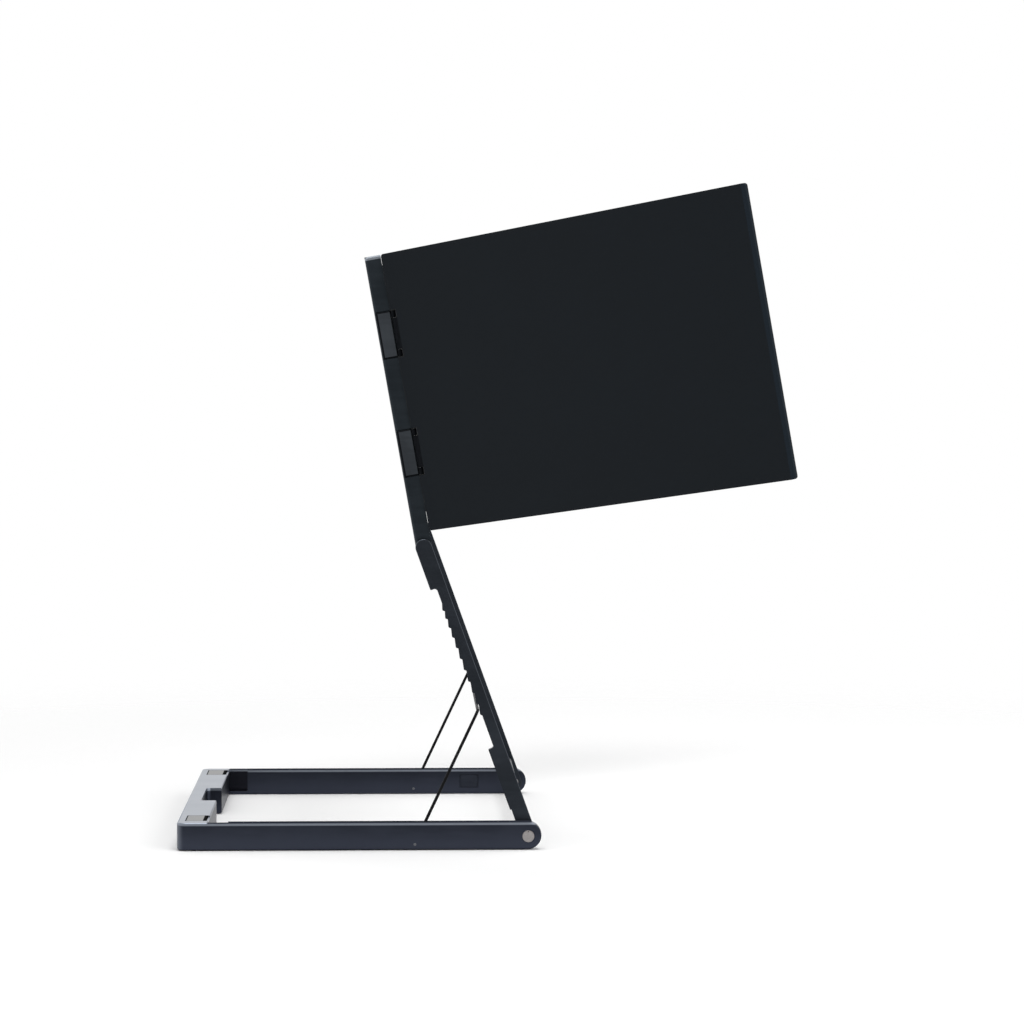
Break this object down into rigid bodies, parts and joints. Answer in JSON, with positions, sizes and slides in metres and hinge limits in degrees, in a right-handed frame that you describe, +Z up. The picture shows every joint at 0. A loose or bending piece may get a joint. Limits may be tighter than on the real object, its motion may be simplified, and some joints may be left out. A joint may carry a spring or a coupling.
{
  "type": "tri-fold portable monitor",
  "caption": "Portable monitor of screens hinged side by side, carried by arms and a wire prop on a flat folding base frame.",
  "frame": {"origin": "on the floor, under the middle of the whole part's box with the wings swung as shown", "axes": "+Z up, the user sits on the -Y side looking along +Y, +X to the user's right"},
  "size_m": [0.811, 0.5144, 0.5661],
  "materials": {
    "base_metal": "dark anodised",
    "arm_metal": "dark anodised",
    "side_metal": "dark anodised",
    "hinge_plate": "satin",
    "pin_steel": "brushed",
    "wire_black": "gloss",
    "rubber_black": "matte",
    "shell_black": "fine texture",
    "bezel_black": "satin",
    "display_black": "glossy",
    "board_green": "satin",
    "socket_metal": "brushed",
    "button_black": "satin"
  },
  "bodies": {
    "base": {"crossbar": "base_metal", "left_rail": "base_metal", "right_rail": "base_metal", "left_front_foot": "rubber_black", "right_front_foot": "rubber_black", "left_rear_foot": "rubber_black", "right_rear_foot": "rubber_black", "left_crossbar_pad": "rubber_black", "right_crossbar_pad": "rubber_black", "left_rail_catch": "base_metal", "right_rail_catch": "base_metal", "left_main_pin": "pin_steel", "right_main_pin": "pin_steel", "left_prop_pin": "pin_steel", "right_prop_pin": "pin_steel"},
    "prop": {"prop_wire": "wire_black", "left_prop_eye": "wire_black", "right_prop_eye": "wire_black"},
    "upright": {"arm_brace": "arm_metal", "left_arm": "arm_metal", "right_arm": "arm_metal", "left_tilt_pin": "pin_steel", "right_tilt_pin": "pin_steel"},
    "centre": {"centre_back_cover": "shell_black", "centre_bezel": "bezel_black", "centre_panel": "display_black", "control_board": "board_green", "hdmi_socket": "socket_metal", "lower_usb_socket": "socket_metal", "upper_usb_socket": "socket_metal", "left_side_rail": "side_metal", "right_side_rail": "side_metal", "left_lower_hinge_cover": "hinge_plate", "right_lower_hinge_cover": "hinge_plate", "left_upper_hinge_cover": "hinge_plate", "right_upper_hinge_cover": "hinge_plate", "left_lower_hinge_leaf": "pin_steel", "right_lower_hinge_leaf": "pin_steel", "left_upper_hinge_leaf": "pin_steel", "right_upper_hinge_leaf": "pin_steel", "left_lower_hinge_pin": "pin_steel", "right_lower_hinge_pin": "pin_steel", "left_upper_hinge_pin": "pin_steel", "right_upper_hinge_pin": "pin_steel"},
    "left_wing": {"left_wing_cover": "shell_black", "left_wing_bezel": "bezel_black", "left_wing_panel": "display_black", "left_wing_board": "board_green", "left_wing_lower_leaf": "pin_steel", "left_wing_upper_leaf": "pin_steel"},
    "right_wing": {"right_wing_cover": "shell_black", "right_wing_bezel": "bezel_black", "right_wing_panel": "display_black", "right_wing_board": "board_green", "right_wing_lower_leaf": "pin_steel", "right_wing_upper_leaf": "pin_steel"},
    "power_button": {"power_button": "button_black"},
    "menu_button": {"menu_button": "button_black"},
    "mode_button": {"mode_button": "button_black"}
  },
  "joints": [
    {"name": "upright_fold", "type": "hinge", "parent": "base", "child": "upright", "pos_m": [0, -0.0465, 0.0118], "axis": [1, 0, 0], "range_deg": [-64, 0]},
    {"name": "prop_swing", "type": "hinge", "parent": "base", "child": "prop", "pos_m": [0, 0.0516, 0.0052], "axis": [1, 0, 0], "range_deg": [-104.5, 0]},
    {"name": "screen_tilt", "type": "hinge", "parent": "upright", "child": "centre", "pos_m": [0, 0.04362, 0.26143], "axis": [1, 0, 0], "range_deg": [-10, 60]},
    {"name": "left_wing_swing", "type": "hinge", "parent": "centre", "child": "left_wing", "pos_m": [-0.1875, 0.03407, 0.26312], "axis": [0, 0.1736, 0.9848], "range_deg": [-54, 126]},
    {"name": "right_wing_swing", "type": "hinge", "parent": "centre", "child": "right_wing", "pos_m": [0.1875, 0.04057, 0.26197], "axis": [0, -0.1736, -0.9848], "range_deg": [-54, 126]},
    {"name": "power_press", "type": "slide", "parent": "centre", "child": "power_button", "axis": [-1, 0, 0], "range_m": [0, 0.0005], "stiffness_N_per_m": 1500, "springref_m": -0.0005},
    {"name": "menu_press", "type": "slide", "parent": "centre", "child": "menu_button", "axis": [-1, 0, 0], "range_m": [0, 0.0005], "stiffness_N_per_m": 1500, "springref_m": -0.0005},
    {"name": "mode_press", "type": "slide", "parent": "centre", "child": "mode_button", "axis": [-1, 0, 0], "range_m": [0, 0.0005], "stiffness_N_per_m": 1500, "springref_m": -0.0005}
  ],
  "couplings": [
    {"joint": "prop_swing", "follows": "upright_fold", "ratio": 1.63}
  ]
}
